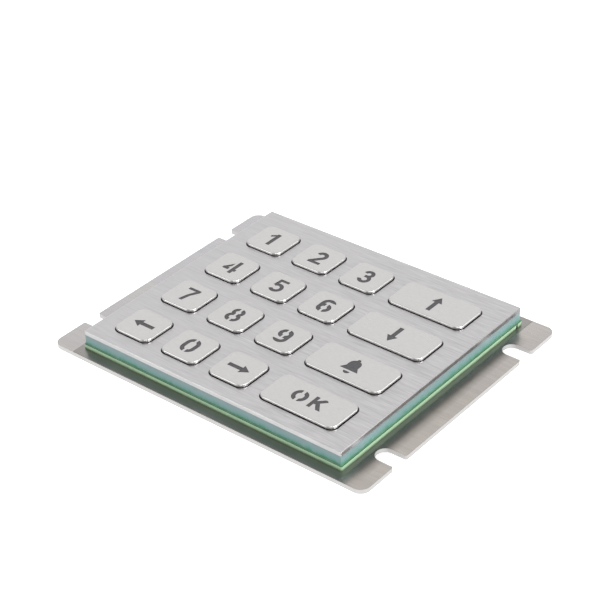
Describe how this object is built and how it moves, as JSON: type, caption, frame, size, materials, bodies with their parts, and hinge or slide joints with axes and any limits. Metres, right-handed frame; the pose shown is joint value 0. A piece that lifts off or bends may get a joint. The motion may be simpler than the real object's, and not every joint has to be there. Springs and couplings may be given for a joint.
{
  "type": "panel-mount metal keypad",
  "caption": "Slim rectangular metal keypad module: sprung, stencil-cut number and function keys over a translucent layer and circuit board, on a slotted back plate for panel mounting.",
  "frame": {"origin": "middle of the back plate in plan, at the plane of the rear stud tips", "axes": "+Z out of the key faces, +Y towards the top row of keys, +X towards the column of wide keys"},
  "size_m": [0.1338, 0.1068, 0.0151],
  "materials": {
    "panel_steel": "long fine brushing from side to side",
    "key_steel": "satin, polished rounded edges",
    "legend_resin": "dark grey translucent resin, slightly recessed",
    "blue_acrylic": "teal-blue translucent cast sheet with polished edges",
    "green_film": "dark green film",
    "spring_steel": "bright spring steel",
    "led_white": "white package with a pale yellow lens",
    "board_green": "green mask on both faces, pale green glass-fibre edges",
    "grey_film": "grey semi-gloss insulating film",
    "plate_steel": "mill-finish stainless sheet, slightly warm",
    "zinc_steel": "bright zinc plating",
    "header_nylon": "off-white nylon",
    "tinned_pin": "tin plating",
    "chip_black": "black moulding"
  },
  "bodies": {
    "module": {"front_panel": "panel_steel", "light_guide": "blue_acrylic", "dome_sheet": "green_film", "snap_domes": "spring_steel", "backlight_leds": "led_white", "circuit_board": "board_green", "insulating_sheet": "grey_film", "back_plate": "plate_steel", "panel_studs": "zinc_steel", "stud_washers": "zinc_steel", "stud_nuts": "zinc_steel", "header_shell": "header_nylon", "header_pins": "tinned_pin", "controller_chip": "chip_black", "chip_leads": "tinned_pin", "chip_resistors": "chip_black"},
    "key_1": {"key_cap_1": "key_steel", "key_core_1": "legend_resin"},
    "key_2": {"key_cap_2": "key_steel", "key_core_2": "legend_resin"},
    "key_3": {"key_cap_3": "key_steel", "key_core_3": "legend_resin"},
    "key_up": {"key_cap_up": "key_steel", "key_core_up": "legend_resin"},
    "key_4": {"key_cap_4": "key_steel", "key_core_4": "legend_resin"},
    "key_5": {"key_cap_5": "key_steel", "key_core_5": "legend_resin"},
    "key_6": {"key_cap_6": "key_steel", "key_core_6": "legend_resin"},
    "key_down": {"key_cap_down": "key_steel", "key_core_down": "legend_resin"},
    "key_7": {"key_cap_7": "key_steel", "key_core_7": "legend_resin"},
    "key_8": {"key_cap_8": "key_steel", "key_core_8": "legend_resin"},
    "key_9": {"key_cap_9": "key_steel", "key_core_9": "legend_resin"},
    "key_bell": {"key_cap_bell": "key_steel", "key_core_bell": "legend_resin"},
    "key_left": {"key_cap_left": "key_steel", "key_core_left": "legend_resin"},
    "key_0": {"key_cap_0": "key_steel", "key_core_0": "legend_resin"},
    "key_right": {"key_cap_right": "key_steel", "key_core_right": "legend_resin"},
    "key_ok": {"key_cap_ok": "key_steel", "key_core_ok": "legend_resin"}
  },
  "joints": [
    {"name": "press_1", "type": "slide", "parent": "module", "child": "key_1", "axis": [0, 0, -1], "range_m": [0, 0.0008], "stiffness_N_per_m": 1500, "springref_m": -0.0005},
    {"name": "press_2", "type": "slide", "parent": "module", "child": "key_2", "axis": [0, 0, -1], "range_m": [0, 0.0008], "stiffness_N_per_m": 1500, "springref_m": -0.0005},
    {"name": "press_3", "type": "slide", "parent": "module", "child": "key_3", "axis": [0, 0, -1], "range_m": [0, 0.0008], "stiffness_N_per_m": 1500, "springref_m": -0.0005},
    {"name": "press_up", "type": "slide", "parent": "module", "child": "key_up", "axis": [0, 0, -1], "range_m": [0, 0.0008], "stiffness_N_per_m": 1500, "springref_m": -0.0005},
    {"name": "press_4", "type": "slide", "parent": "module", "child": "key_4", "axis": [0, 0, -1], "range_m": [0, 0.0008], "stiffness_N_per_m": 1500, "springref_m": -0.0005},
    {"name": "press_5", "type": "slide", "parent": "module", "child": "key_5", "axis": [0, 0, -1], "range_m": [0, 0.0008], "stiffness_N_per_m": 1500, "springref_m": -0.0005},
    {"name": "press_6", "type": "slide", "parent": "module", "child": "key_6", "axis": [0, 0, -1], "range_m": [0, 0.0008], "stiffness_N_per_m": 1500, "springref_m": -0.0005},
    {"name": "press_down", "type": "slide", "parent": "module", "child": "key_down", "axis": [0, 0, -1], "range_m": [0, 0.0008], "stiffness_N_per_m": 1500, "springref_m": -0.0005},
    {"name": "press_7", "type": "slide", "parent": "module", "child": "key_7", "axis": [0, 0, -1], "range_m": [0, 0.0008], "stiffness_N_per_m": 1500, "springref_m": -0.0005},
    {"name": "press_8", "type": "slide", "parent": "module", "child": "key_8", "axis": [0, 0, -1], "range_m": [0, 0.0008], "stiffness_N_per_m": 1500, "springref_m": -0.0005},
    {"name": "press_9", "type": "slide", "parent": "module", "child": "key_9", "axis": [0, 0, -1], "range_m": [0, 0.0008], "stiffness_N_per_m": 1500, "springref_m": -0.0005},
    {"name": "press_bell", "type": "slide", "parent": "module", "child": "key_bell", "axis": [0, 0, -1], "range_m": [0, 0.0008], "stiffness_N_per_m": 1500, "springref_m": -0.0005},
    {"name": "press_left", "type": "slide", "parent": "module", "child": "key_left", "axis": [0, 0, -1], "range_m": [0, 0.0008], "stiffness_N_per_m": 1500, "springref_m": -0.0005},
    {"name": "press_0", "type": "slide", "parent": "module", "child": "key_0", "axis": [0, 0, -1], "range_m": [0, 0.0008], "stiffness_N_per_m": 1500, "springref_m": -0.0005},
    {"name": "press_right", "type": "slide", "parent": "module", "child": "key_right", "axis": [0, 0, -1], "range_m": [0, 0.0008], "stiffness_N_per_m": 1500, "springref_m": -0.0005},
    {"name": "press_ok", "type": "slide", "parent": "module", "child": "key_ok", "axis": [0, 0, -1], "range_m": [0, 0.0008], "stiffness_N_per_m": 1500, "springref_m": -0.0005}
  ]
}
